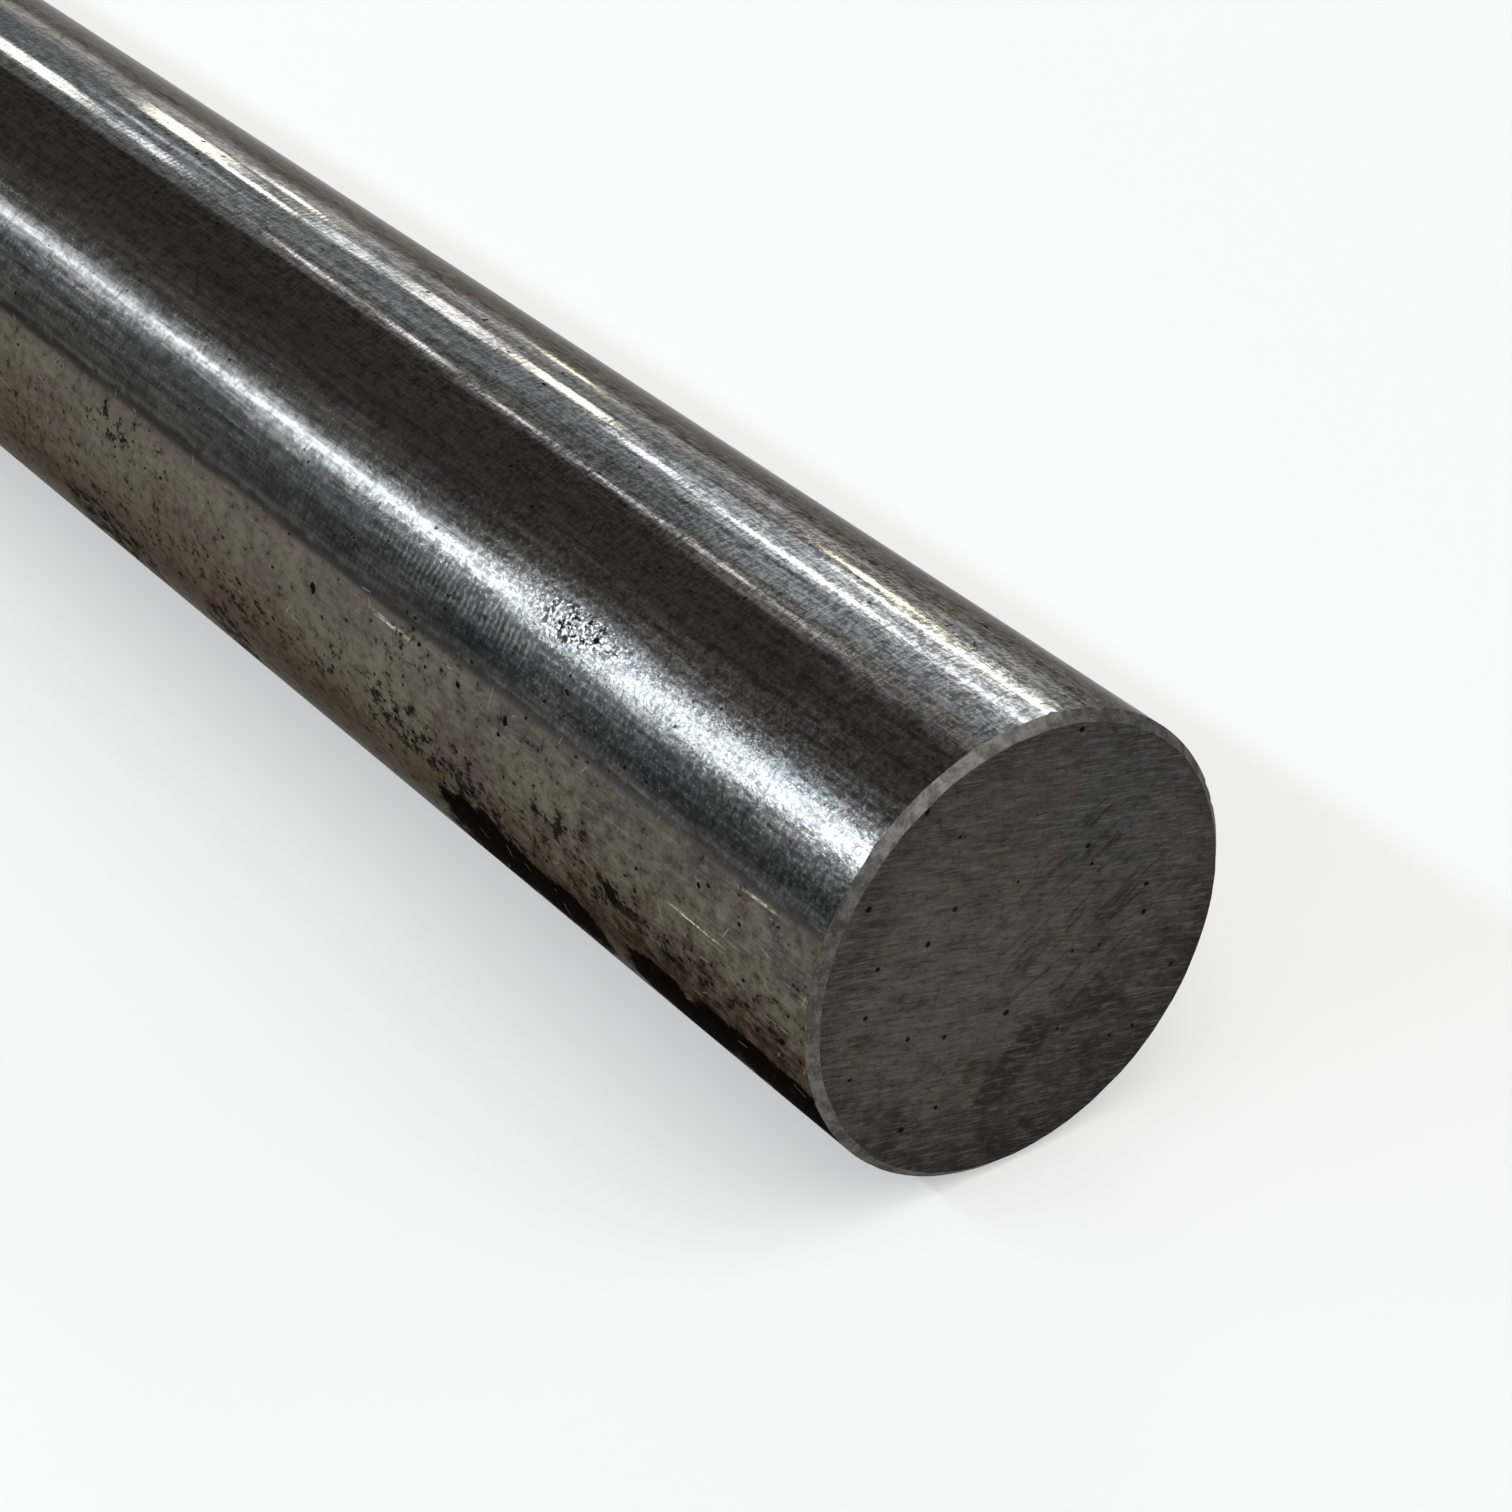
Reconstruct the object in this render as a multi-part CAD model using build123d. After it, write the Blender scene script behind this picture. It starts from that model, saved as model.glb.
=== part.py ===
"""A length of bright round steel bar: one solid piece of stock.

The bar is a plain cylinder, sawn square at both ends, with the sharp rim of each end taken off by
a small chamfer. It lies along X with its axis at Z = 0, and the origin is on the axis, halfway
along the bar. The end at +X is the near end and the end at -X is the far end.
"""

from build123d import *

import os

# Driving dimensions, in millimetres.
BAR_DIAMETER = 40.0
BAR_LENGTH = 500.0
NEAR_CHAMFER_LENGTH = 0.8  # along the bar, at the +X end
NEAR_CHAMFER_DEPTH = 0.8  # towards the axis, at the +X end
FAR_CHAMFER_LENGTH = 0.8  # along the bar, at the -X end
FAR_CHAMFER_DEPTH = 0.8  # towards the axis, at the -X end

# Worked out from the driving dimensions.
BAR_RADIUS = BAR_DIAMETER / 2
NEAR_END = BAR_LENGTH / 2
FAR_END = -BAR_LENGTH / 2


def half_section():
    """Half of the bar's lengthways section, above its axis, in the XY plane."""
    outline = Polyline(
        (FAR_END, 0),
        (FAR_END, BAR_RADIUS - FAR_CHAMFER_DEPTH),
        (FAR_END + FAR_CHAMFER_LENGTH, BAR_RADIUS),
        (NEAR_END - NEAR_CHAMFER_LENGTH, BAR_RADIUS),
        (NEAR_END, BAR_RADIUS - NEAR_CHAMFER_DEPTH),
        (NEAR_END, 0),
        close=True,
    )
    return make_face(outline)


def round_bar():
    """The whole bar, turned about its axis."""
    bar = revolve(half_section(), axis=Axis.X)
    bar.label = "round_bar"
    return bar


def main():
    os.makedirs("parts", exist_ok=True)
    export_step(round_bar(), "parts/round_bar.step")


main()
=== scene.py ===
"""A length of bright round steel bar, lying on the pale floor of a plain studio.

The bar is one piece: a finer mesh stands for the CAD node round_bar, with the same diameter, length and
chamfers, and carries the marks of stock that has been turned, sawn, handled and stored. The near end is the
sawn end at +X, which the camera looks down on.

A turn round the bar is measured from the -Y side upwards, so 90 degrees is the top.
"""

import math
from types import SimpleNamespace

import bpy
from mathutils import Matrix, Vector, noise


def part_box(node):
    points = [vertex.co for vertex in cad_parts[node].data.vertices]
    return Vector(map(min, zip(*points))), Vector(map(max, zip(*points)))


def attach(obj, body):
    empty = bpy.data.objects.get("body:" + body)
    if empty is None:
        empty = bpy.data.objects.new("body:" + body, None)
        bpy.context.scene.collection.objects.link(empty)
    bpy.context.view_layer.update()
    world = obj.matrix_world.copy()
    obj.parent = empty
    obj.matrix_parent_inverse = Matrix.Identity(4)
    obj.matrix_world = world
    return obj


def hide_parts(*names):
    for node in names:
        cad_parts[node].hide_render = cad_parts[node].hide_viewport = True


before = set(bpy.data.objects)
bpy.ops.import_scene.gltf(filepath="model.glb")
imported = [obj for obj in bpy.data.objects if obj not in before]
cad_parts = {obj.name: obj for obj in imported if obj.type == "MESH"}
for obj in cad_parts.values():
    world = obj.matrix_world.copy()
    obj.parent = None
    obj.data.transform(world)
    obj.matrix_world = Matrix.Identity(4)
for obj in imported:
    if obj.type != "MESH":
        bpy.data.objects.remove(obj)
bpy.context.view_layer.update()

# ---------------------------------------------------------------- sizes, in metres

LOW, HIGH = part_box("round_bar")
RADIUS = (HIGH.z - LOW.z) / 2
NEAR = HIGH.x
FAR = LOW.x
MM = 0.001
CHAMFER = 0.8 * MM
FACE_DIP = 0.03 * MM  # how far the saw sank into a face at most
MIDDLE_DIP = 0.015 * MM  # and in its middle
RIPPLE = 0.006 * MM  # the barrel's short waves
SWEEP = 0.02 * MM  # and its long ones
FLOOR_Z = LOW.z

SEGMENTS = 256  # round the bar
SHARP_FOLD = 24  # degrees from which a fold of the mesh is a sharp edge
TURNS = [2 * math.pi * i / SEGMENTS - math.pi / 2 for i in range(SEGMENTS)]  # from the underside
ARC_PER_DEGREE = math.pi * RADIUS / 180 / MM  # in millimetres, round the barrel


# ---------------------------------------------------------------- the bar's mesh


def link(name, data):
    """A new object of the scene."""
    thing = bpy.data.objects.new(name, data)
    bpy.context.scene.collection.objects.link(thing)
    return thing


SEED_STEPS = (17.3, 5.1, 11.7)  # from the noise of one seed to the next one's


def wander(x, turn, scale, seed):
    """Smooth noise from -1 to 1 on the bar's surface, with features about scale metres across."""
    place = Vector((x, RADIUS * math.cos(turn), RADIUS * math.sin(turn))) / scale
    return noise.noise(place + Vector([seed * step for step in SEED_STEPS]))


# Dents in the barrel: distance from the near end, turn from the -Y side upwards in degrees, length along
# the bar, width round it, and depth, in millimetres.
DENTS = [
    (17.0, 72.0, 3.0, 1.6, 0.05),
    (33.0, 12.0, 2.2, 1.4, 0.05),
    (48.0, 88.0, 4.5, 1.2, 0.04),
    (74.0, 58.0, 2.6, 2.0, 0.05),
    (96.0, 104.0, 3.5, 1.8, 0.05),
    (128.0, 30.0, 3.0, 1.5, 0.04),
    (170.0, 80.0, 5.0, 2.2, 0.06),
    (228.0, 130.0, 4.0, 2.5, 0.07),
    (305.0, 55.0, 4.0, 2.0, 0.06),
    (372.0, 160.0, 6.0, 2.2, 0.07),
    (431.0, 95.0, 3.5, 2.5, 0.06),
    (470.0, 20.0, 4.0, 1.8, 0.05),
]
DENT_REACH = 2  # half lengths, beyond which a dent is left out
DENT_STEEPNESS = 1.6  # of its sides

# Nicks in the chamfers' outer edges: turn in degrees, width and depth in millimetres.
NEAR_NICKS = [
    (97.0, 0.55, 0.30),
    (101.5, 0.35, 0.20),
    (108.0, 0.30, 0.14),
    (84.0, 0.25, 0.12),
    (46.0, 0.60, 0.16),
    (31.0, 0.35, 0.12),
    (5.0, 0.40, 0.14),
    (-48.0, 0.60, 0.20),
    (158.0, 0.50, 0.22),
    (163.0, 0.30, 0.14),
    (215.0, 0.60, 0.20),
]
FAR_NICKS = [
    (60.0, 0.8, 0.25),
    (77.0, 0.4, 0.15),
    (132.0, 0.7, 0.28),
    (140.0, 0.4, 0.16),
    (201.0, 0.8, 0.22),
    (-30.0, 0.6, 0.18),
]


def turn_apart(turn, degrees):
    """The turn between two places round the bar, in radians, from 0 to pi."""
    gap = abs(turn - math.radians(degrees)) % (2 * math.pi)
    return min(gap, 2 * math.pi - gap)


def dent_depth(x, turn):
    """How deep the dents are at a place on the barrel."""
    depth = 0.0
    for from_end, degrees, length, width, deep in DENTS:
        along = (NEAR - x - from_end * MM) / (length * MM / 2)
        if abs(along) > DENT_REACH:
            continue
        across = turn_apart(turn, degrees) * RADIUS / (width * MM / 2)
        depth += deep * MM * math.exp(-(along * along + across * across) * DENT_STEEPNESS)
    return depth


def nick_depth(turn, nicks):
    """How far the nicks push a chamfer's outer edge along the bar."""
    depth = 0.0
    for degrees, width, deep in nicks:
        across = turn_apart(turn, degrees) * RADIUS / (width * MM / 2)
        depth += deep * MM * math.exp(-across * across)
    return depth


def barrel_radius(x, turn):
    """The bar's radius at a place. It is nowhere above the CAD's."""
    ripple = 0.5 + 0.5 * wander(x, turn, 0.012, 1)
    sweep = 0.5 + 0.5 * wander(x, turn, 0.045, 2)
    return RADIUS - RIPPLE * ripple - SWEEP * sweep - dent_depth(x, turn)


def smooth(value, low, high):
    """0 at low, 1 at high, smooth between; low may be the larger."""
    share = min(1.0, max(0.0, (value - low) / (high - low)))
    return share * share * (3 - 2 * share)


def hump(value, middle, reach):
    """1 at middle, falling smoothly to 0 at reach from it."""
    return smooth(abs(value - middle), reach, 0.0)


# Where pits crowd together: distance from the near end and turn in degrees, then the reach along the bar and
# round it, in millimetres.
PIT_CLUSTERS = [
    (25.5, -3.0, 5.0, 3.5),
    (33.0, 3.0, 8.0, 2.5),
    (47.0, -3.0, 10.0, 4.0),
    (84.0, -6.0, 10.0, 3.5),
    (108.0, 14.0, 7.0, 3.0),
    (160.0, 5.0, 9.0, 4.0),
    (240.0, 200.0, 12.0, 5.0),
    (330.0, -10.0, 14.0, 5.0),
    (415.0, 150.0, 10.0, 4.0),
]

# Stretches of the bar's low side with a black line, partly old oil and partly painted shade, in millimetres
# from the near end.
OIL_AND_SHADE_STRETCHES = [(-2, 25), (29, 52)]

# What varies over the barrel's finish. Each is stored at the mesh's points and read back by the material.
WEAR = (
    "cloud",  # slow changes of tone
    "patch",  # quicker ones
    "rubbed",  # the polish is rubbed off
    "crackle",  # rubbed into coarse grains
    "ringed",  # turning rings show
    "brushed",  # rubbed lengthwise
    "film",  # brown-grey film, whose tone is partly a painted reflection of the floor
    "oil",  # black low on the bar: old oil, and painted shade of the underside
    "crowd",  # dirt and pits crowd together
    "dull",  # dull grey
    "tarnish",  # painted shade: a dark blue-grey band that stands in for a dark reflection
    "mirror",  # the polish is whole
)
# For the middle point of each face, which the barrel's finish doesn't reach.
UNWORN = (0.5, 0.5) + (0.0,) * (len(WEAR) - 2)


def oil_at(x, turn, along, degrees, drift):
    """Old oil and painted shade of the underside, low on the bar: a dark line in stretches, and a thin smear
    round them.
    """
    oily = degrees + 3 * wander(x, turn, 0.016, 27) + 4 * wander(x, turn, 0.0030, 28)
    under = smooth(degrees + 9 * wander(x, turn, 0.007, 35), -44, -27)
    ragged = along + 3.5 * wander(x, turn, 0.0035, 34)
    stretch = 0.55 * smooth(wander(x, 0, 0.014, 29), -0.1, 0.3) * smooth(along, 62, 80)
    for start, stop in OIL_AND_SHADE_STRETCHES:
        stretch = max(stretch, smooth(ragged, start - 1, start + 1.5) * smooth(ragged, stop + 3, stop - 2))
    line = smooth(oily, -12, -16) * under * stretch
    smear = smooth(oily, 0, -12) * (0.06 + 0.22 * smooth(drift, 85, 40)) * under
    return max(line, smear)


def crowd_at(x, turn, along, degrees, drift):
    """Where dirt and pits crowd together: here and there, along a line on the low side, and in clusters."""
    crowd = 0.55 * smooth(wander(x, turn, 0.007, 30), 0.10, 0.65)
    line = hump(degrees + 7 * wander(x, turn, 0.012, 32), -5, 12)
    line = line * (0.35 + 0.65 * smooth(drift, 90, 50)) * (0.65 + 0.35 * smooth(drift, 10, 24))
    crowd = max(crowd, 1.1 * line * smooth(wander(x, turn, 0.006, 33), -0.8, 0.1))
    for middle, turned, length, width in PIT_CLUSTERS:
        across = turn_apart(turn, turned) * RADIUS / MM
        crowd = max(crowd, hump(along, middle, length) * hump(across, 0, width))
    return crowd


def wear_at(x, turn):
    """The barrel's finish at a place, in the order of WEAR, from 0 to about 1. The limits are in millimetres
    from the near end and in degrees round the bar."""
    along = (NEAR - x) / MM
    degrees = math.degrees(turn)
    # The same two measures, made uneven so that no band has a straight edge.
    drift = along + 14 * wander(x, turn, 0.014, 24)
    tilt = degrees + 5 * wander(x, turn, 0.010, 25)
    edge = degrees + 2 * wander(x, turn, 0.006, 26)
    cloud = 0.5 + 0.4 * wander(x, turn, 0.022, 20) + 0.25 * wander(x, turn, 0.009, 21)
    patch = 0.5 + 0.4 * wander(x / 3, turn, 0.0045, 22) + 0.3 * wander(x, turn, 0.0028, 23)
    # The polish has been rubbed off near the sawn end, most of all along one side.
    from_end = smooth(drift, 78, 36)
    rubbed = from_end * (0.20 + 0.80 * hump(tilt, 45.5, 18)) + 0.14 * smooth(cloud, 0.4, 0.8)
    crackle = hump(along + 5 * wander(x, turn, 0.004, 31), 38, 9) * hump(tilt, 47.5, 9)
    ringed = smooth(along, 40, 46) * smooth(drift, 78, 58) * (0.10 + 0.90 * hump(degrees, 36, 7))
    ringed = max(ringed, 0.22 * smooth(cloud, 0.35, 0.7))
    # Bands along the bar: whole polish and brushing about the top, dull steel behind it, and in front a
    # painted dark blue-grey band, which is painted shade standing in for a dark reflection.
    mirror = smooth(tilt, 58, 68) * smooth(tilt, 120, 104) * (0.35 + 0.65 * smooth(drift, 5, 34))
    brushed = smooth(tilt, 64, 82) * smooth(tilt, 134, 112) * (0.70 + 0.30 * smooth(drift, 90, 30))
    dull = smooth(tilt, 101, 111) * smooth(tilt, 185, 150)
    tarnish = smooth(edge, 34, 26) * (0.84 + 0.16 * smooth(drift, 30, 60))
    # The side that lay on the rack has a brown-grey film and dirt, whose tone is partly a painted reflection,
    # and under it a dark line that is partly old oil and partly painted shade.
    film = min(1.0, smooth(edge, 22.8, 20.6) * smooth(edge, -130, -110) + smooth(edge, 196, 230))
    oil = oil_at(x, turn, along, degrees, drift)
    crowd = crowd_at(x, turn, along, degrees, drift)
    return cloud, patch, rubbed, crackle, ringed, brushed, film, oil, crowd, dull, tarnish, mirror


# How far apart the barrel's rings lie, in millimetres: up to so far from the end, so wide a gap.
NEAR_GAPS = [(2.0, 0.25), (20.0, 0.6), (190.0, 1.2), (math.inf, 3.0)]
FAR_GAPS = [(2.0, 0.5), (20.0, 1.2), (math.inf, 3.0)]
# The rings closest to each end are left out, to make room for the nicks.
NEAR_LEFT_OUT = 3
FAR_LEFT_OUT = 2
# The rings of a face, as shares of its radius.
FACE_RINGS = (0.12, 0.25, 0.38, 0.5, 0.62, 0.74, 0.85, 0.93, 0.975, 1.0)


def ring_places(end, inwards, gaps):
    """Where the barrel's rings lie along the bar, from one chamfer to the middle."""
    places = []
    gone = 0.0
    while gone < (NEAR - FAR) / 2 - CHAMFER:
        places.append(end + inwards * (CHAMFER + gone))
        gone += next(gap for reach, gap in gaps if gone < reach * MM) * MM
    return places


def barrel_ring(x):
    """One ring of the barrel. Each point is its X, radius and turn."""
    return [(x, barrel_radius(x, turn), turn) for turn in TURNS]


def face_radius(turn, seed):
    """The radius at which a face meets its chamfer. The chamfer was ground by hand, so it is uneven."""
    slow = 0.10 * wander(0, turn, 0.004, seed)
    quick = 0.07 * wander(0, turn, 0.0012, seed + 1)
    return RADIUS - CHAMFER * (1 + slow + quick)


def end_rings(end, inwards, nicks, seed):
    """The rings of one face and of its chamfer's outer edge, from the middle outwards."""
    rings = []
    for share in FACE_RINGS:
        ring = []
        for turn in TURNS:
            r = face_radius(turn, seed) * share
            sunk = FACE_DIP * (0.5 + 0.5 * wander(r, turn, 0.009, seed + 2))
            sunk *= 1 - share**8
            ring.append((end + inwards * sunk, r, turn))
        rings.append(ring)
    outer = []
    for turn in TURNS:
        back = CHAMFER * (1 + 0.06 * wander(0, turn, 0.003, seed + 3)) + nick_depth(turn, nicks)
        x = end + inwards * back
        outer.append((x, barrel_radius(x, turn), turn))
    return rings + [outer]


# The flat map of the bar's surface: each half of the barrel is a strip, and each face is a disc. In metres.
MAP_SIDE = 0.300
MAP_MARGIN = 0.002
MAP_FAR_STRIP = 0.134
MAP_FACES = {"near_face": (0.277, 0.024), "far_face": (0.277, 0.156)}


def flat_map(chart, x, r, turn, share):
    """Where a point goes on the flat map. share is how far round the bar it is, from 0 to 1."""
    arc = share * 2 * math.pi * RADIUS
    if chart == "near":
        return (MAP_MARGIN + x) / MAP_SIDE, (MAP_MARGIN + arc) / MAP_SIDE
    if chart == "far":
        return (MAP_MARGIN + x - FAR) / MAP_SIDE, (MAP_FAR_STRIP + arc) / MAP_SIDE
    middle = MAP_FACES[chart]
    return (middle[0] + r * math.cos(turn)) / MAP_SIDE, (middle[1] + r * math.sin(turn)) / MAP_SIDE


# The bar's materials, in the order in which they are added.
BARREL, GROUND, SAWN = 0, 1, 2


def bar_rings():
    """The bar's rings from the near face's middle to the far one's, and the band from each to the next: its
    part of the flat map and its material."""
    near_end = end_rings(NEAR, -1, NEAR_NICKS, seed=3)
    far_end = end_rings(FAR, 1, FAR_NICKS, seed=9)
    near_places = ring_places(NEAR, -1, NEAR_GAPS)[NEAR_LEFT_OUT:]
    far_places = ring_places(FAR, 1, FAR_GAPS)[FAR_LEFT_OUT:]
    barrel = [barrel_ring(x) for x in near_places + [0.0] + far_places[::-1]]
    face_bands = len(FACE_RINGS) - 1
    bands = [("near_face", SAWN)] * face_bands + [("near", GROUND)]
    bands += [("near", BARREL)] * (len(near_places) + 1) + [("far", BARREL)] * (len(far_places) + 1)
    bands += [("far", GROUND)] + [("far_face", SAWN)] * face_bands
    return near_end + barrel + far_end[::-1], bands


def bar_faces(rings, bands):
    """The mesh's faces, their materials, and the place of each corner on the flat map."""
    faces, paints, corners = [], [], []

    def number(row, i):
        return 1 + row * SEGMENTS + i % SEGMENTS

    def corner(chart, row, i):
        x, r, turn = rings[row][i % SEGMENTS]
        return flat_map(chart, x, r, turn, i / SEGMENTS)

    for i in range(SEGMENTS):
        faces.append((0, number(0, i + 1), number(0, i)))
        paints.append(SAWN)
        corners.append(flat_map("near_face", 0, 0, 0, 0))
        corners += [corner("near_face", 0, i + 1), corner("near_face", 0, i)]
    for row, (chart, paint) in enumerate(bands):
        for i in range(SEGMENTS):
            loop = [(row, i), (row, i + 1), (row + 1, i + 1), (row + 1, i)]
            faces.append([number(*at) for at in loop])
            paints.append(paint)
            corners += [corner(chart, *at) for at in loop]
    last = len(rings) - 1
    for i in range(SEGMENTS):
        faces.append((number(last, i), number(last, i + 1), 1 + len(rings) * SEGMENTS))
        paints.append(SAWN)
        corners += [corner("far_face", last, i), corner("far_face", last, i + 1)]
        corners.append(flat_map("far_face", 0, 0, 0, 0))
    return faces, paints, corners


def make_bar():
    """The whole bar as one closed mesh. Its materials are added after it."""
    rings, bands = bar_rings()
    faces, paints, corners = bar_faces(rings, bands)
    points = [(NEAR - MIDDLE_DIP, 0, 0)]
    wear = [UNWORN]
    for ring in rings:
        points += [(x, -r * math.cos(turn), r * math.sin(turn)) for x, r, turn in ring]
        wear += [wear_at(x, turn) for x, _, turn in ring]
    points.append((FAR + MIDDLE_DIP, 0, 0))
    wear.append(UNWORN)

    mesh = bpy.data.meshes.new("round_bar_stock")
    mesh.from_pydata(points, [], faces)
    for name, values in zip(WEAR, zip(*wear)):
        mesh.attributes.new(name, "FLOAT", "POINT").data.foreach_set("value", values)
    mesh.polygons.foreach_set("material_index", paints)
    mesh.polygons.foreach_set("use_smooth", [True] * len(faces))
    layer = mesh.uv_layers.new(name="OFBake")
    layer.data.foreach_set("uv", [v for uv in corners for v in uv])
    mesh.set_sharp_from_angle(angle=math.radians(SHARP_FOLD))
    mesh.validate()
    return link("round_bar_stock", mesh)


# ---------------------------------------------------------------- materials

OIL_ROUGHNESS = 0.07  # of the clear oil on clean steel


class Paint:
    """Builds a new material's or world's nodes. Its methods return sockets, which go into other methods."""

    def __init__(self, owner, place="Object"):
        self.owner = owner
        owner.use_nodes = True
        self.tree = owner.node_tree
        self.tree.nodes.clear()
        self.place = self.add("ShaderNodeTexCoord").outputs[place]

    def add(self, kind):
        return self.tree.nodes.new(kind)

    def put(self, socket, value):
        """Links a socket, or sets it to a number or vector."""
        if isinstance(value, bpy.types.NodeSocket):
            self.tree.links.new(value, socket)
        else:
            socket.default_value = value

    def finish(self, shader, kind="ShaderNodeOutputMaterial"):
        self.put(self.add(kind).inputs["Surface"], shader.outputs[0])

    def worn(self, name):
        """One of the mesh's wear values."""
        node = self.add("ShaderNodeAttribute")
        node.attribute_name = name
        return node.outputs["Fac"]

    def math(self, operation, a, b=0.0):
        node = self.add("ShaderNodeMath")
        node.operation = operation
        self.put(node.inputs[0], a)
        self.put(node.inputs[1], b)
        return node.outputs[0]

    def chain(self, operation, values):
        result = values[0]
        for value in values[1:]:
            result = self.math(operation, result, value)
        return result

    def total(self, *values):
        return self.chain("ADD", values)

    def product(self, *values):
        return self.chain("MULTIPLY", values)

    def most(self, *values):
        return self.chain("MAXIMUM", values)

    def but(self, value):
        """One minus a value."""
        return self.math("SUBTRACT", 1.0, value)

    def centred(self, value):
        """A noise moved so that it varies about 0."""
        return self.math("SUBTRACT", value, 0.5)

    def size(self, value):
        """A value without its sign."""
        return self.math("ABSOLUTE", value)

    def axes(self, vector=None):
        node = self.add("ShaderNodeSeparateXYZ")
        self.put(node.inputs[0], vector or self.place)
        return node.outputs[0], node.outputs[1], node.outputs[2]

    def point(self, x, y):
        """A flat place."""
        node = self.add("ShaderNodeCombineXYZ")
        self.put(node.inputs[0], x)
        self.put(node.inputs[1], y)
        return node.outputs[0]

    def vector(self, operation, a, b):
        node = self.add("ShaderNodeVectorMath")
        node.operation = operation
        self.put(node.inputs[0], a)
        self.put(node.inputs[1], b)
        return node.outputs

    def mapping(self, place, scale, move, degrees=0.0, kind="POINT"):
        """A place moved, turned and scaled."""
        node = self.add("ShaderNodeMapping")
        node.vector_type = kind
        self.put(node.inputs["Vector"], place)
        self.put(node.inputs["Location"], move)
        self.put(node.inputs["Rotation"], (0, 0, math.radians(degrees)))
        self.put(node.inputs["Scale"], scale)
        return node.outputs[0]

    def grid(self, x, y, z, offset=0.0):
        """The object's place counted in features: so many to the millimetre along each axis."""
        return self.mapping(self.place, (x / MM, y / MM, z / MM), (offset, offset * 1.7, offset * 2.3))

    def strip(self, flat, x, y, offset=0.0):
        """A flat place counted in features: so many to the millimetre each way."""
        return self.mapping(flat, (x, y, 1), (offset, offset * 1.7, 0))

    def lay(self, flat, length, width, degrees, offset=0.0):
        """A flat place counted in features so long and so wide in millimetres, which lie at an angle."""
        return self.mapping(flat, (length, width, 1), (offset, offset * 1.7, 0), degrees, "TEXTURE")

    def spot(self, flat, at, inner, outer, ragged=0.0):
        """1 within inner of a place and 0 beyond outer, all in millimetres."""
        distance = self.vector("DISTANCE", flat, (*at, 0))["Value"]
        return self.ramp(self.total(distance, ragged), outer, inner)

    def noise(self, place, detail=2.0, rough=0.5, flat=False):
        node = self.add("ShaderNodeTexNoise")
        node.noise_dimensions = "2D" if flat else "3D"
        self.put(node.inputs["Vector"], place)
        node.inputs["Scale"].default_value = 1.0
        node.inputs["Detail"].default_value = detail
        node.inputs["Roughness"].default_value = rough
        return node.outputs["Fac"]

    def cells(self, flat, scale=1.0):
        """Random cells: distance from each cell's middle, three random numbers, and where its middle is."""
        node = self.add("ShaderNodeTexVoronoi")
        node.voronoi_dimensions = "2D"
        self.put(node.inputs["Vector"], flat)
        node.inputs["Scale"].default_value = scale
        return node.outputs["Distance"], self.axes(node.outputs["Color"]), node.outputs["Position"]

    def ramp(self, value, low, high, out_low=0.0, out_high=1.0):
        """Value from low to high becomes out_low to out_high, smoothly, and stays there outside."""
        node = self.add("ShaderNodeMapRange")
        node.interpolation_type = "SMOOTHSTEP"
        if low > high:
            low, high, out_low, out_high = high, low, out_high, out_low
        limits = {"From Min": low, "From Max": high, "To Min": out_low, "To Max": out_high}
        for name, number in limits.items():
            node.inputs[name].default_value = number
        self.put(node.inputs["Value"], value)
        return node.outputs[0]

    def blend(self, share, a, b):
        """From colour a at share 0 to colour b at share 1."""
        node = self.add("ShaderNodeMix")
        node.data_type = "RGBA"
        self.put(node.inputs[0], share)
        for socket, colour in ((node.inputs[6], a), (node.inputs[7], b)):
            self.put(socket, (*colour, 1.0) if isinstance(colour, tuple) else colour)
        return node.outputs[2]

    def tint(self, under, colour, value, low, high, most=1.0, *shares):
        """Lays a colour over another: none where a value is at low, and most times the shares at high."""
        share = self.product(self.ramp(value, low, high, 0.0, most), *shares)
        return self.blend(share, under, colour)

    def scratches(self, flat, each, chance, length, width, seed):
        """Short straight scratches at random angles, at most one to each square of so many millimetres."""
        moved = self.vector("ADD", flat, (seed * 13.7, seed * 7.9, 0))[0]
        _, (turn, lucky, size), middle = self.cells(moved, 1 / each)
        turned = self.add("ShaderNodeVectorRotate")
        turned.rotation_type = "Z_AXIS"
        self.put(turned.inputs["Vector"], self.vector("SUBTRACT", moved, middle)[0])
        self.put(turned.inputs["Angle"], self.product(turn, math.pi))
        along, across, _ = self.axes(turned.outputs[0])
        past_end = self.math("SUBTRACT", self.size(along), self.product(size, length / 2))
        ends = self.ramp(past_end, 0.1, -0.15)
        sides = self.ramp(self.size(across), width, width * 0.3)
        return self.product(ends, sides, self.ramp(lucky, 1 - chance, 1.001 - chance))

    def mark(self, flat, at, length, width, degrees, soft):
        """One long mark at a flat place, all in millimetres. soft is the share of it that fades out."""
        place = self.mapping(flat, (1, 1, 1), (*at, 0), degrees, "TEXTURE")
        along, across, _ = self.axes(place)
        ends = self.ramp(self.size(along), length / 2, length / 2 * (1 - soft))
        sides = self.ramp(self.size(across), width / 2, width / 2 * (1 - soft))
        return self.product(ends, sides)

    def relief(self, height):
        """Bump from a height in millimetres."""
        node = self.add("ShaderNodeBump")
        node.inputs["Strength"].default_value = 1.0
        node.inputs["Distance"].default_value = MM
        self.put(node.inputs["Height"], height)
        return node.outputs[0]

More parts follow.
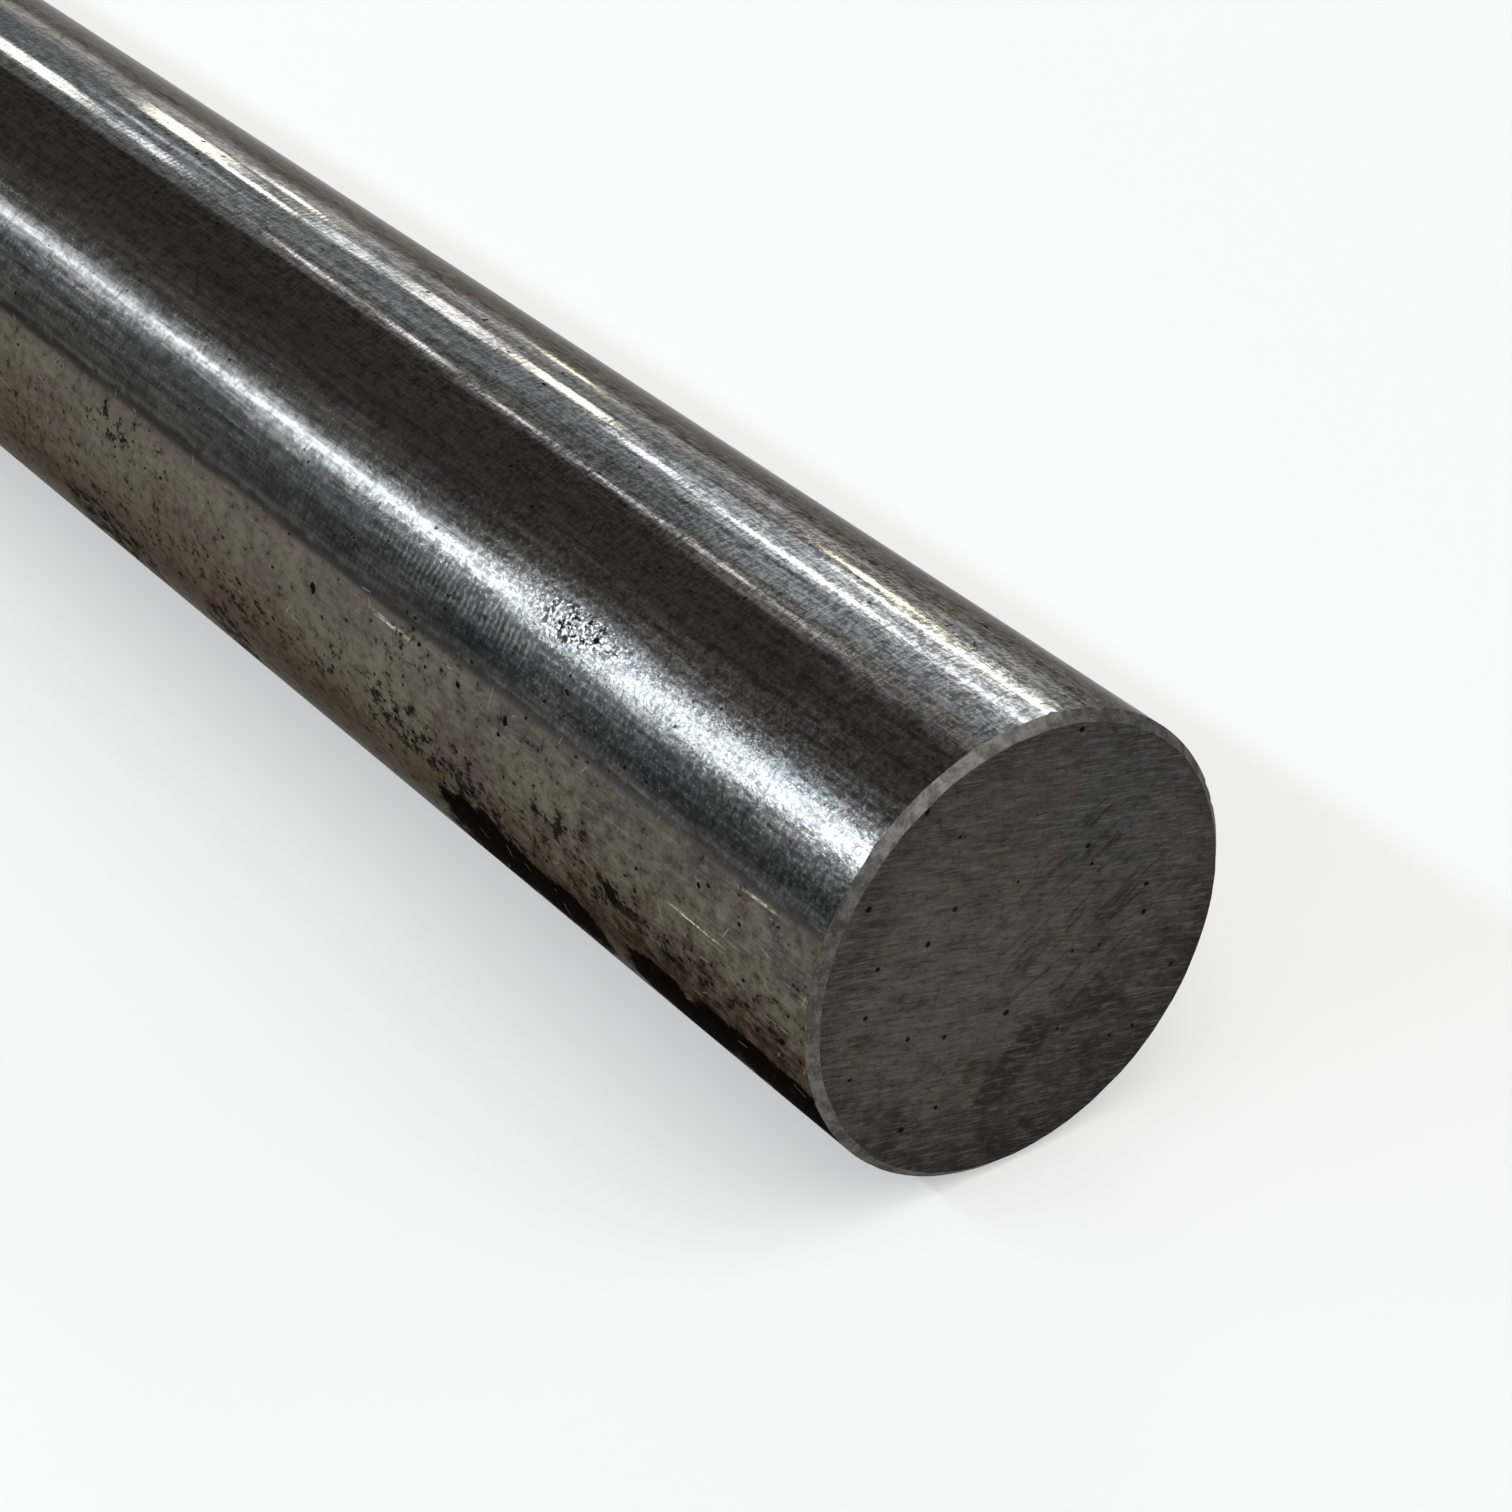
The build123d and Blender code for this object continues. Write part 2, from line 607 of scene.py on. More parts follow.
    def metal(self, colour, roughness, height, edge, oiled=None):
        """Ends the material with one metal shader. edge darkens what is seen at a flat angle, and oiled is
        how much clear oil lies over the metal."""
        shader = self.add("ShaderNodeBsdfPrincipled")
        normal = self.relief(height)
        self.put(shader.inputs["Base Color"], colour)
        shader.inputs["Metallic"].default_value = 1.0
        self.put(shader.inputs["Roughness"], roughness)
        self.put(shader.inputs["Normal"], normal)
        shader.inputs["Specular Tint"].default_value = (*edge, 1.0)
        if oiled is not None:
            self.put(shader.inputs["Coat Weight"], oiled)
            self.put(shader.inputs["Coat Normal"], normal)
            shader.inputs["Coat Roughness"].default_value = OIL_ROUGHNESS
        self.finish(shader)
        return self.owner


# Marks on the barrel: distance from the near end and turn from the -Y side upwards in degrees, then length
# and width in millimetres, and the mark's angle to the bar's length.
# Scraped marks that are painted bright, as glints of lamps.
SCRATCH_GLINTS = [
    (60.0, 19.3, 8.5, 0.60, 1.0),
    (8.5, 21.8, 7.0, 0.40, -1.0),
    (14.5, 6.3, 11.0, 0.30, 0.8),
    (11.0, 36.0, 5.0, 0.25, 0.0),
    (12.5, 60.0, 9.0, 0.14, -4.0),
    (61.6, 51.5, 1.5, 0.30, -62.0),
    (36.4, 71.0, 1.6, 0.26, -50.0),
    (53.4, 69.5, 1.5, 0.26, 80.0),
    (72.0, 69.0, 1.2, 0.34, -40.0),
    (79.8, 54.5, 3.4, 0.18, -45.0),
    (41.0, 71.0, 2.0, 0.18, 55.0),
]
BLACK_MARKS = [
    (45.4, 68.5, 1.6, 0.14, 62.0),
    (46.0, 67.0, 1.9, 0.16, 62.0),
    (36.5, 33.0, 1.2, 0.5, 20.0),
    (12.5, 103.0, 1.6, 0.2, 40.0),
    (15.8, 103.5, 1.5, 0.3, 80.0),
    (42.3, 18.0, 1.3, 0.9, 65.0),
    (49.3, 17.8, 1.0, 0.7, 10.0),
    (71.9, 13.8, 1.4, 1.1, 50.0),
    (15.2, 15.5, 0.9, 0.5, 40.0),
    (26.2, -3.5, 3.2, 2.2, 50.0),
    (3.8, -6.0, 1.4, 0.9, -40.0),
    (18.0, -8.0, 1.4, 1.0, 0.0),
]

# The barrel's noises: how many features to the millimetre along the bar and round it, an offset that keeps
# each noise apart from the others, then detail and roughness.
BARREL_NOISES = {
    "grain": (1.6, 2.0, 0, 4, 0.85),
    "streak": (0.045, 1.3, 3, 3, 0.7),
    "hair": (0.22, 4.0, 8, 2, 0.65),
    "tics": (3.4, 0.8, 2, 2, 0.65),
    "speck": (0.8, 1.1, 9, 3, 0.78),
    "crumbs": (2.2, 2.6, 6, 2, 0.7),
    "chop": (0.42, 2.2, 12, 3, 0.8),
    "soil": (0.55, 0.8, 14, 3, 0.75),
}
RING_SPACING = 0.78  # of the turning rings, in millimetres
PAINTED_LINE_TURN = 25.4  # degrees round the bar of the painted dark line, painted shade just above the film's edge

# Where the finish changes along the bar, from and to so many millimetres from the near end.
FILM_AND_REFLECTION_PALES = (22.0, 66.0)
GRAIN_FADES = (45.0, 75.0)
CONTRAST_FADES = (50.0, 85.0)

# The barrel's colours, as shares of the red, green and blue light that comes back. First the bare steel's.
STEEL_LIGHT = (0.375, 0.356, 0.340)
STEEL_DARK = (0.285, 0.263, 0.247)
STREAK_DARK = (0.125, 0.115, 0.108)
STREAK_PALE = (0.58, 0.57, 0.56)
PATCH_PALE = (0.56, 0.55, 0.53)
PATCH_DARK = (0.11, 0.103, 0.096)
# A painted dark band: painted shade that stands in for a dark reflection.
PAINTED_BAND_DARK = (0.038, 0.042, 0.046)
PAINTED_BAND_PALE = (0.118, 0.118, 0.114)
HAIR_PALE = (0.66, 0.65, 0.64)
HAIR_DARK = (0.10, 0.095, 0.09)
FLECK_PALE = (0.62, 0.62, 0.62)
FLECK_DARK = (0.085, 0.088, 0.09)
# Painted glints in the bright flecks, tinted blue and warm like the lamps' highlights.
BLUE_GLINT_FLECK = (0.58, 0.68, 0.79)
WARM_GLINT_FLECK = (0.74, 0.73, 0.68)
SOIL_PALE = (0.50, 0.495, 0.49)
SOIL_DARK = (0.055, 0.050, 0.046)
# Painted glints among the coarse grains of the crackle.
PAINTED_CRACKLE_GLINT = (0.85, 0.86, 0.87)
CRUMB_DARK = (0.014, 0.009, 0.007)
DULL_DARK = (0.105, 0.098, 0.089)
DULL_PALE = (0.27, 0.258, 0.24)
# Painted shade: a dark line at the film's upper edge.
PAINTED_DARK_LINE = (0.034, 0.029, 0.025)
# The brown-grey film, whose tone is partly a painted reflection of the floor.
FILM_AND_REFLECTION_LIGHT = (0.162, 0.145, 0.115)
FILM_AND_REFLECTION_DARK = (0.098, 0.080, 0.071)
FILM_AND_REFLECTION_PALE = (0.215, 0.190, 0.160)
FILM_HAIR = (0.235, 0.21, 0.18)
FILM_SPECK = (0.050, 0.040, 0.031)
FILM_SOIL = (0.058, 0.048, 0.038)
# What lies over both.
# Old oil, and painted shade along the underside.
OIL_AND_SHADE_BLACK = (0.006, 0.004, 0.003)
SCRATCH = (0.50, 0.47, 0.44)
# A painted glint of lamps in scraped marks.
SCRATCH_GLINT = (0.86, 0.80, 0.68)
BLACK_MARK = (0.017, 0.011, 0.008)
BARREL_EDGE = (0.30, 0.28, 0.26)


def barrel_values(p):
    """What the barrel's finish is made from at each place: where it is, how it is worn, and the noises."""
    x, y, z = p.axes()
    along = p.math("DIVIDE", p.math("SUBTRACT", NEAR, x), MM)
    turn = p.math("SUBTRACT", 90.0, p.product(p.math("ARCTAN2", p.product(y, -1.0), z), 180 / math.pi))
    flat = p.point(along, p.product(turn, ARC_PER_DEGREE))
    at = SimpleNamespace(along=along, turn=turn, flat=flat)
    for name in WEAR:
        setattr(at, name, p.worn(name))
    for name, (x_count, round_count, offset, detail, rough) in BARREL_NOISES.items():
        setattr(at, name, p.noise(p.strip(flat, x_count, round_count, offset), detail, rough, flat=True))
    return at


def barrel_dark_marks(p, at):
    """Pits, blots of dirt on the film, and the larger black marks."""
    ragged = p.product(p.centred(at.grain), 0.7)
    distance, (chance, size, _), _ = p.cells(p.strip(at.flat, 0.7, 1.0))
    pit_size = p.total(p.product(size, 0.15), p.product(at.crowd, 0.10))
    chosen = p.ramp(p.total(chance, p.product(at.crowd, 0.25), p.product(at.film, 0.07)), 0.95, 0.97)
    pits = p.product(p.ramp(p.math("SUBTRACT", p.total(distance, ragged), pit_size), 0.06, -0.06), chosen)
    dirt = p.total(p.product(at.soil, 0.8), p.product(at.crumbs, 0.2), p.product(at.crowd, 0.15))
    marks = p.most(pits, p.product(p.ramp(dirt, 0.61, 0.73), at.film, 0.85))
    for from_end, degrees, length, width, angle in BLACK_MARKS:
        place = (from_end, degrees * ARC_PER_DEGREE)
        spoiled = p.mark(at.flat, place, length, width, angle, soft=0.8)
        marks = p.most(marks, p.ramp(p.total(spoiled, p.product(ragged, 2.5)), 0.30, 0.55))
    return marks


def barrel_scratch_glints(p, at):
    """Places where the steel was scraped, painted bright and yellowish as glints of lamps in the scratches.
    """
    marks = 0.0
    for from_end, degrees, length, width, angle in SCRATCH_GLINTS:
        place = (from_end, degrees * ARC_PER_DEGREE)
        scraped = p.mark(at.flat, place, length, width, angle, soft=0.9)
        marks = p.most(scraped, marks)
    return p.product(marks, p.ramp(at.grain, 0.40, 0.58, 0.05, 1.0), p.ramp(at.hair, 0.38, 0.54, 0.25, 1.0))


def bare_steel(p, at):
    """The colour of the steel where no film lies over it, with a painted dark band, a painted dark line and
    painted glints.
    """
    steel = p.blend(at.cloud, STEEL_LIGHT, STEEL_DARK)
    steel = p.tint(steel, STREAK_DARK, at.streak, 0.50, 0.34, 0.55)
    steel = p.tint(steel, STREAK_PALE, at.streak, 0.54, 0.72, 0.40)
    steel = p.tint(steel, PATCH_PALE, at.patch, 0.55, 0.95, 0.26)
    steel = p.tint(steel, PATCH_DARK, at.patch, 0.42, 0.08, 0.34)
    # The painted dark band: painted shade over the steel just above the brown-grey film, standing in for a
    # dark reflection.
    steel = p.blend(p.product(at.tarnish, 0.93), steel, p.blend(at.streak, PAINTED_BAND_DARK, PAINTED_BAND_PALE))

    # Fine lines along the bar, which show most where it is brushed.
    pale_hairs = p.total(0.25, p.product(at.tarnish, -0.22), p.product(at.brushed, 0.45))
    dark_hairs = p.total(0.20, p.product(at.brushed, 0.45))
    steel = p.tint(steel, HAIR_PALE, at.hair, 0.50, 0.66, 1.0, pale_hairs)
    steel = p.tint(steel, HAIR_DARK, at.hair, 0.50, 0.34, 1.0, dark_hairs)
    steel = p.tint(steel, FLECK_PALE, at.chop, 0.51, 0.66, 1.0, at.brushed, 0.75)
    steel = p.tint(steel, FLECK_DARK, at.chop, 0.50, 0.36, 1.0, at.brushed, 0.85)

    # Short ones round it, and soil.
    across = p.total(0.20, p.product(at.brushed, 0.42), p.product(at.tarnish, -0.17))
    steel = p.tint(steel, FLECK_PALE, at.tics, 0.51, 0.68, 1.0, across)
    steel = p.tint(steel, FLECK_DARK, at.tics, 0.49, 0.33, 1.0, across)
    pale_soil = p.total(0.34, p.product(at.tarnish, -0.28))
    steel = p.tint(steel, SOIL_PALE, at.soil, 0.51, 0.66, 1.0, pale_soil)
    steel = p.tint(steel, SOIL_DARK, at.soil, 0.48, 0.34, 0.44)

    # Where the polish is rubbed off, bright and dark flecks lie close together. The bright ones are partly
    # grain and partly painted glints, tinted blue and warm like the lamps' highlights.
    near = p.ramp(at.along, *CONTRAST_FADES, 0.33, 0.13)
    worn = (p.product(at.rubbed, 0.18), p.product(at.crackle, 0.3), p.product(at.brushed, 0.16))
    contrast = p.total(near, *worn)
    light = p.product(contrast, p.total(1.0, p.product(at.tarnish, -0.90)))
    glint_fleck = p.blend(p.ramp(at.patch, 0.25, 0.75), BLUE_GLINT_FLECK, WARM_GLINT_FLECK)
    steel = p.tint(steel, glint_fleck, at.grain, 0.50, 0.66, 1.0, light)
    steel = p.tint(steel, FLECK_DARK, at.grain, 0.51, 0.35, 1.0, contrast)
    # Painted glints: near-white flecks among the coarse grains where the polish is broken.
    steel = p.tint(steel, PAINTED_CRACKLE_GLINT, at.crumbs, 0.53, 0.60, 1.0, at.broken)
    steel = p.blend(at.grains, steel, CRUMB_DARK)

    # The dull band, and a painted dark line at the film's edge, which is painted shade standing in for a dark
    # reflection.
    dull = p.blend(p.ramp(at.chop, 0.35, 0.65), DULL_DARK, DULL_PALE)
    steel = p.blend(p.product(at.dull, 0.46), steel, dull)
    uneven_turn = p.total(at.turn, p.product(at.soil, 2.4), p.product(at.hair, 1.5))
    from_painted_line = p.size(p.math("SUBTRACT", uneven_turn, PAINTED_LINE_TURN))
    return p.tint(steel, PAINTED_DARK_LINE, from_painted_line, 2.2, 0.5, 1.0, 0.72)


def film_and_reflection_colour(p, at):
    """The brown-grey film, whose tone is partly a painted reflection of the floor. It is paler and less
    spotted away from the near end.
    """
    specks = p.ramp(at.along, *FILM_AND_REFLECTION_PALES, 0.55, 0.36)
    dirt = p.ramp(at.along, *FILM_AND_REFLECTION_PALES, 0.50, 0.34)
    film = p.blend(p.ramp(at.patch, 0.2, 0.8), FILM_AND_REFLECTION_LIGHT, FILM_AND_REFLECTION_DARK)
    film = p.tint(film, FILM_AND_REFLECTION_PALE, at.along, *FILM_AND_REFLECTION_PALES, 0.42)
    film = p.tint(film, FILM_HAIR, at.hair, 0.52, 0.72, 1.0, 0.5)
    film = p.tint(film, FILM_SPECK, at.speck, 0.44, 0.72, 1.0, specks)
    film = p.tint(film, FILM_SOIL, at.soil, 0.46, 0.66, 1.0, dirt)
    return p.tint(film, FILM_AND_REFLECTION_PALE, at.soil, 0.46, 0.30, 0.45)


def barrel_roughness(p, at):
    """Least in the mirror band, and most in oil, marks and crackle."""
    streaks = p.product(p.ramp(at.streak, 0.4, 0.75), 0.05)
    rough = p.total(0.15, streaks, p.product(at.film, 0.12), p.product(at.brushed, 0.04))
    grain = p.product(p.ramp(at.grain, 0.35, 0.65), p.ramp(at.along, *GRAIN_FADES, 0.05, 0.008))
    rough = p.total(rough, p.product(at.rubbed, 0.055), grain, p.ramp(at.along, *CONTRAST_FADES, 0.0, 0.037))
    rough = p.product(rough, p.total(1.0, p.product(at.mirror, -0.66)))
    rough = p.total(rough, p.product(p.total(at.rings, 1.0), at.ringed, 0.05))
    rough = p.total(rough, p.product(at.scratches, 0.05), p.product(at.dark_marks, 0.4))
    return p.total(rough, p.product(at.oil, 0.40), p.product(at.grains, 0.5))


def barrel_height(p, at):
    """The relief of the grain, the turning rings and the fine lines, in millimetres."""
    polished = p.product(p.but(at.mirror), p.ramp(at.along, *GRAIN_FADES, 0.0008, 0.0002))
    grain = p.total(polished, p.product(at.rubbed, at.rubbed, 0.013), p.product(at.crackle, 0.030))
    tics = p.product(at.tics, p.but(at.mirror), p.ramp(at.along, *GRAIN_FADES, 0.0011, 0.0005))
    rings = p.product(at.rings, at.ringed, 0.0024)
    return p.total(p.product(at.grain, grain), rings, tics, p.product(at.streak, 0.0016))


def barrel_steel():
    """The turned and polished barrel, with what handling and storing have left on it, and with painted shade
    and glints.
    """
    p = Paint(bpy.data.materials.new("bright_turned_steel"))
    at = barrel_values(p)
    bend = p.total(at.along, p.product(at.cloud, 1.4), p.product(at.turn, -0.030), p.product(at.soil, 0.7))
    at.rings = p.math("SINE", p.product(bend, 2 * math.pi / RING_SPACING))
    edges = (p.product(p.centred(at.soil), 1.3), p.product(p.centred(at.grain), 0.5))
    at.oil = p.ramp(p.total(at.oil, *edges), 0.25, 0.80)
    at.dark_marks = barrel_dark_marks(p, at)
    long_scratches = p.scratches(at.flat, each=9.0, chance=0.4, length=3.5, width=0.04, seed=1)
    short_scratches = p.scratches(at.flat, each=3.4, chance=0.45, length=1.4, width=0.05, seed=2)
    at.scratches = p.most(long_scratches, short_scratches)
    at.broken = p.ramp(at.crackle, 0.0, 0.85)
    crumbled = p.total(p.product(at.speck, 0.65), p.product(at.crumbs, 0.35))
    at.grains = p.product(p.ramp(crumbled, 0.485, 0.445), at.broken)

    colour = p.blend(at.film, bare_steel(p, at), film_and_reflection_colour(p, at))
    # Black of old oil, partly painted shade along the underside.
    colour = p.blend(p.product(at.oil, 0.98), colour, OIL_AND_SHADE_BLACK)
    colour = p.blend(p.product(at.scratches, 0.6), colour, SCRATCH)
    colour = p.blend(barrel_scratch_glints(p, at), colour, SCRATCH_GLINT)
    colour = p.blend(at.dark_marks, colour, BLACK_MARK)
    dry = p.most(at.film, at.oil, at.dark_marks, at.dull, at.tarnish, at.grains)
    oiled = p.product(p.but(dry), 0.6)
    return p.metal(colour, barrel_roughness(p, at), barrel_height(p, at), BARREL_EDGE, oiled)


GROUND_PALE = (0.155, 0.144, 0.134)
GROUND_DARK = (0.070, 0.064, 0.058)
GRIT_PALE = (0.26, 0.245, 0.23)
GRIT_DARK = (0.035, 0.031, 0.028)
GROUND_EDGE = (0.5, 0.5, 0.5)


def chamfer_steel():
    """The chamfers were ground by hand, so the grinding lines run round the bar and the tone varies."""
    p = Paint(bpy.data.materials.new("ground_chamfer_steel"))
    mist = p.noise(p.grid(0.7, 0.7, 0.7), 4, 0.7)
    grit = p.noise(p.grid(9.0, 2.5, 2.5, 4), 2, 0.6)
    colour = p.blend(p.ramp(mist, 0.36, 0.62), GROUND_PALE, GROUND_DARK)
    colour = p.tint(colour, GRIT_PALE, grit, 0.55, 0.8, 0.6)
    colour = p.tint(colour, GRIT_DARK, grit, 0.42, 0.25, 0.5)
    rough = p.total(0.36, p.product(grit, 0.2))
    height = p.total(p.product(grit, 0.02), p.product(mist, 0.02))
    return p.metal(colour, rough, height, GROUND_EDGE)


# Small black pits on the near sawn face: place across and up from the middle, and radius, in millimetres.
FACE_PITS = [
    (-6.8, 6.6, 0.30),
    (-9.3, 4.4, 0.34),
    (5.9, 7.3, 0.26),
    (6.4, 5.5, 0.24),
    (12.1, 1.4, 0.32),
    (12.0, -1.2, 0.36),
    (-7.5, -4.8, 0.30),
    (7.6, -2.5, 0.24),
    (4.9, -2.0, 0.22),
    (-9.7, 16.2, 0.32),
    (3.8, -8.8, 0.28),
    (-11.4, -11.8, 0.42),
]

# The sawn faces' noises: each feature's length and width in millimetres and its angle, an offset that keeps
# each noise apart from the others, then detail and roughness.
FACE_NOISES = {
    "lines": (4.4, 0.36, -16, 0, 4, 0.72),
    "hairs": (2.4, 0.17, -11, 3, 1, 0.6),
    "mottle": (3.4, 1.7, -24, 11, 4, 0.75),
    "chatter": (5.5, 0.85, 28, 7, 3, 0.7),
    "cloud": (6.0, 5.0, -20, 1, 3, 0.65),
    "grain": (0.9, 0.7, -15, 5, 4, 0.8),
}
FAR_FACE_AWAY = 80.0  # sets the far face's marks apart from the near one's, in millimetres

# The faces' colours: three tones of sawn steel, then what lies over them.
PURPLE_BROWN = (0.070, 0.058, 0.054)
OLIVE = (0.080, 0.075, 0.059)
SLATE = (0.056, 0.058, 0.054)
SHADE = (0.020, 0.018, 0.015)
DRIED_OIL = (0.016, 0.014, 0.012)
MOTTLE_DARK = (0.022, 0.019, 0.016)
MOTTLE_PALE = (0.14, 0.13, 0.115)
LINE_DARK = (0.020, 0.017, 0.015)
LINE_PALE = (0.17, 0.16, 0.145)
CHATTER_DARK = (0.018, 0.015, 0.014)
GRAIN_DARK = (0.018, 0.015, 0.013)
GRAIN_PALE = (0.15, 0.14, 0.125)
PIT_BLACK = (0.006, 0.005, 0.005)
FACE_EDGE = (0.6, 0.58, 0.56)


def face_values(p):
    """What the faces' finish is made from at each place: where it is, on which face, and the noises."""
    x, y, z = p.axes()
    near = p.ramp(x, 0.1, 0.2)  # 1 on the near face and 0 on the far one
    y_mm = p.math("DIVIDE", y, MM)
    z_mm = p.math("DIVIDE", z, MM)
    place = p.point(p.total(y_mm, p.product(p.but(near), FAR_FACE_AWAY)), z_mm)
    at = SimpleNamespace(near=near, y_mm=y_mm, z_mm=z_mm, flat=p.point(y_mm, z_mm), place=place)
    for name, (length, width, degrees, offset, detail, rough) in FACE_NOISES.items():
        setattr(at, name, p.noise(p.lay(place, length, width, degrees, offset), detail, rough, flat=True))
    at.shift = p.product(p.centred(at.cloud), 18.0)
    return at


def face_tones(p, at):
    """Three tones: olive in the middle and left, slate in the upper right, and a purple brown between."""
    olive = p.spot(at.flat, (-6.0, -1.5), 8.0, 14.0, at.shift)
    low_slate = p.product(p.spot(at.flat, (15.0, -7.0), 2.0, 5.0, at.shift), 0.6)
    slate = p.most(p.spot(at.flat, (9.5, 11.5), 4.5, 8.5, at.shift), low_slate)
    return p.blend(slate, p.blend(olive, PURPLE_BROWN, OLIVE), SLATE)


def face_shade(p, at, colour):
    """Lays the darker foot and rim and the dried oil over a colour."""
    rim = p.math("SQRT", p.total(p.product(at.y_mm, at.y_mm), p.product(at.z_mm, at.z_mm)))
    low = p.ramp(p.total(at.z_mm, at.shift, p.product(at.y_mm, -0.35)), -3.0, -17.0, 0.0, 0.55)
    smear = p.mark(at.flat, (-0.6, -10.2), length=15.0, width=5.0, degrees=41, soft=0.8)
    ragged_smear = p.total(p.product(smear, 0.72), p.product(at.grain, 0.5), p.product(at.cloud, 0.5))
    oiled = p.product(p.ramp(ragged_smear, 0.70, 0.95), at.near)
    blotch = p.product(p.ramp(at.cloud, 0.46, 0.34), p.ramp(at.z_mm, 2.0, -12.0, 0.15, 0.8))
    colour = p.blend(p.total(low, p.ramp(rim, 15.5, 19.2, 0.0, 0.35)), colour, SHADE)
    return p.blend(p.product(p.most(oiled, blotch), 0.72), colour, DRIED_OIL)


def face_lines(p, at, colour):
    """Lays the saw's lines, its chatter marks and the grain over a colour."""
    amount = p.ramp(at.cloud, 0.3, 0.6, 0.6, 1.0)
    colour = p.tint(colour, MOTTLE_DARK, at.mottle, 0.47, 0.30, 0.50)
    colour = p.tint(colour, MOTTLE_PALE, at.mottle, 0.52, 0.70, 0.22)
    colour = p.tint(colour, LINE_DARK, at.lines, 0.50, 0.30, 1.0, amount, 0.62)
    colour = p.tint(colour, LINE_PALE, at.lines, 0.52, 0.74, 1.0, amount, 0.40)
    colour = p.tint(colour, LINE_PALE, at.hairs, 0.55, 0.78, 0.35)
    colour = p.tint(colour, CHATTER_DARK, at.chatter, 0.50, 0.32, 1.0, at.in_middle, 0.75)
    colour = p.tint(colour, GRAIN_DARK, at.grain, 0.47, 0.28, 0.60)
    return p.tint(colour, GRAIN_PALE, at.grain, 0.55, 0.75, 0.28)


def face_dots(p, at):
    """Small pits: many at random, and the larger ones of the near face."""
    distance, (chance, size, _), _ = p.cells(p.lay(at.place, 2.4, 2.2, -15, 9))
    dots = p.ramp(p.total(distance, p.product(size, -0.07)), 0.09, 0.03)
    dots = p.product(dots, p.ramp(chance, 0.95, 0.96))
    ragged = p.product(p.centred(at.grain), 0.5)
    for across, up, radius in FACE_PITS:
        pit = p.spot(at.flat, (across, up), radius * 0.4, radius, ragged)
        dots = p.most(dots, p.product(pit, at.near))
    return dots


def face_steel():
    """Both sawn ends. The saw left fine lines, the steel has small pits, and oil has dried here and there."""
    p = Paint(bpy.data.materials.new("sawn_face_steel"))
    at = face_values(p)
    at.in_middle = p.total(0.15, p.product(p.spot(at.flat, (7.0, 1.5), 5.0, 11.0, at.shift), at.near, 0.8))
    dots = face_dots(p, at)
    colour = face_lines(p, at, face_shade(p, at, face_tones(p, at)))
    colour = p.blend(p.product(dots, 0.92), colour, PIT_BLACK)
    rough = p.total(0.42, p.product(at.cloud, 0.10), p.product(at.lines, 0.10), p.product(dots, 0.3))
    relief = (p.product(at.lines, 0.030), p.product(at.grain, 0.050))
    height = p.total(*relief, p.product(at.chatter, at.in_middle, 0.06), p.product(dots, -0.05))
    return p.metal(colour, rough, height, FACE_EDGE)


# ---------------------------------------------------------------- the studio

FLOOR_HALF = 12.0  # metres from the middle to an edge
FLOOR_LIGHT = (0.86, 0.86, 0.85)
FLOOR_DARK = (0.84, 0.84, 0.83)
FLOOR_GLOW = 0.40  # the share of white that the camera and reflections see in it
WALL = (0.80, 0.80, 0.79)
CEILING_LOW = (0.045, 0.052, 0.058)
CEILING_HIGH = (0.073, 0.062, 0.051)


def make_floor():
    """A wide pale floor. The camera and reflections see it a little whiter than it is."""
    mesh = bpy.data.meshes.new("floor")
    signs = [(-1, -1), (1, -1), (1, 1), (-1, 1)]
    corners = [(x * FLOOR_HALF, y * FLOOR_HALF, FLOOR_Z) for x, y in signs]
    mesh.from_pydata(corners, [], [(0, 1, 2, 3)])
    floor = link("floor", mesh)
    p = Paint(bpy.data.materials.new("pale_floor"))
    mist = p.noise(p.grid(0.003, 0.003, 0.003), 2)
    shader = p.add("ShaderNodeBsdfDiffuse")
    p.put(shader.inputs["Color"], p.blend(mist, FLOOR_LIGHT, FLOOR_DARK))
    white = p.add("ShaderNodeEmission")
    white.inputs["Color"].default_value = (1.0, 1.0, 1.0, 1.0)
    white.inputs["Strength"].default_value = 1.0
    path = p.add("ShaderNodeLightPath").outputs
    seen = p.most(path["Is Camera Ray"], path["Is Glossy Ray"], path["Is Transmission Ray"])
    mixed = p.add("ShaderNodeMixShader")
    p.put(mixed.inputs[0], p.product(seen, FLOOR_GLOW))
    p.put(mixed.inputs[1], shader.outputs[0])
    p.put(mixed.inputs[2], white.outputs[0])
    p.finish(mixed)
    mesh.materials.append(p.owner)


def make_world():
    """A pale wall low round the studio, and a dark ceiling that is down at the floor on the camera's side."""
    world = bpy.data.worlds.new("studio")
    bpy.context.scene.world = world
    p = Paint(world, "Generated")
    _, y, z = p.axes()
    wall_top = p.ramp(y, -0.72, -0.30, 0.0, 0.16)
    dark = p.ramp(p.math("SUBTRACT", z, wall_top), -0.03, 0.05)
    ceiling = p.blend(p.ramp(z, 0.05, 0.55), CEILING_LOW, CEILING_HIGH)
    sky = p.add("ShaderNodeBackground")
    p.put(sky.inputs["Color"], p.blend(dark, WALL, ceiling))
    p.finish(sky, "ShaderNodeOutputWorld")


LAMP_AWAY = 1.6  # metres from the bar's axis
COOL = (0.88, 0.97, 1.03)
FAINT_BLUE = (0.90, 0.985, 1.045)
SOFT_BLUE = (0.88, 0.985, 1.06)
CLEAR_BLUE = (0.87, 0.985, 1.07)
WHITE = (0.98, 1.0, 1.0)
STRAW = (1.0, 0.985, 0.84)
YELLOW = (1.0, 0.95, 0.68)
ROSE = (1.0, 0.95, 0.95)

